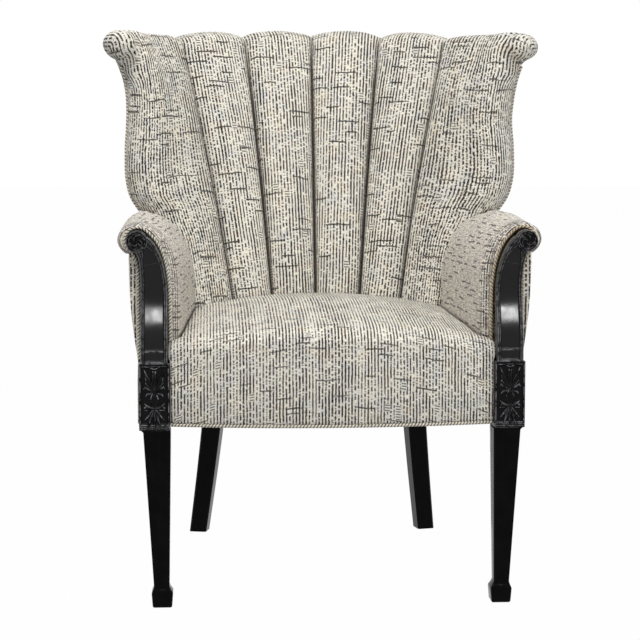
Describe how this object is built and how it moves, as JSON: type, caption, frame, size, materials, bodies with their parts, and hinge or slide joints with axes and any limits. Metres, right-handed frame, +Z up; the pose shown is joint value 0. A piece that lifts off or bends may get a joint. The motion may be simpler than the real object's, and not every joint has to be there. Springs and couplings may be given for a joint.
{
  "type": "wingback chair",
  "caption": "Channel-back wing chair with a sprung, crowned seat, padded outscrolled arms faced in carved ebonised wood, tapered front legs and raked back legs.",
  "frame": {"origin": "on the floor, midway between the sides and midway front to back", "axes": "+Z up, the chair faces -Y, +X to the right as seen from the front"},
  "size_m": [0.7924, 0.6928, 0.9843],
  "materials": {
    "show_wood": "ebonised, semi-gloss, worn at the edges",
    "frame_wood": "plain sawn hardwood, unfinished",
    "cover_fabric": "woven cream cover with broken charcoal dash lines",
    "welt_cord": "self-covered cord",
    "spring_steel": "drawn wire",
    "webbing": "woven jute strap",
    "hessian": "plain jute cloth",
    "dust_cloth": "thin black cloth"
  },
  "bodies": {
    "root": {"arm_pad_left": "cover_fabric", "arm_pad_right": "cover_fabric", "arm_post_left": "show_wood", "arm_post_right": "show_wood", "arm_rail_left": "frame_wood", "arm_rail_right": "frame_wood", "arm_welt_left": "welt_cord", "arm_welt_right": "welt_cord", "back_channel_1": "cover_fabric", "back_channel_2": "cover_fabric", "back_channel_3": "cover_fabric", "back_channel_4": "cover_fabric", "back_channel_5": "cover_fabric", "back_channel_6": "cover_fabric", "back_hessian": "hessian", "back_leg_left": "show_wood", "back_leg_right": "show_wood", "back_rail": "frame_wood", "corner_block_back_left": "frame_wood", "corner_block_back_right": "frame_wood", "corner_block_front_left": "frame_wood", "corner_block_front_right": "frame_wood", "crest_rail": "frame_wood", "dust_cover": "dust_cloth", "front_leg_left": "show_wood", "front_leg_right": "show_wood", "front_rail": "frame_wood", "lower_back_rail": "frame_wood", "outside_arm_left": "cover_fabric", "outside_arm_right": "cover_fabric", "outside_back": "cover_fabric", "outside_wing_left": "cover_fabric", "outside_wing_right": "cover_fabric", "seat_hessian": "hessian", "seat_pad": "cover_fabric", "seat_spring_1": "spring_steel", "seat_spring_2": "spring_steel", "seat_spring_3": "spring_steel", "seat_spring_4": "spring_steel", "seat_spring_5": "spring_steel", "seat_spring_6": "spring_steel", "seat_spring_7": "spring_steel", "seat_spring_8": "spring_steel", "seat_spring_9": "spring_steel", "seat_webbing": "webbing", "seat_welt": "welt_cord", "side_rail_left": "frame_wood", "side_rail_right": "frame_wood", "wing_post_left": "frame_wood", "wing_post_right": "frame_wood", "wing_roll_left": "cover_fabric", "wing_roll_right": "cover_fabric", "wing_welt_left": "welt_cord", "wing_welt_right": "welt_cord"}
  },
  "joints": []
}
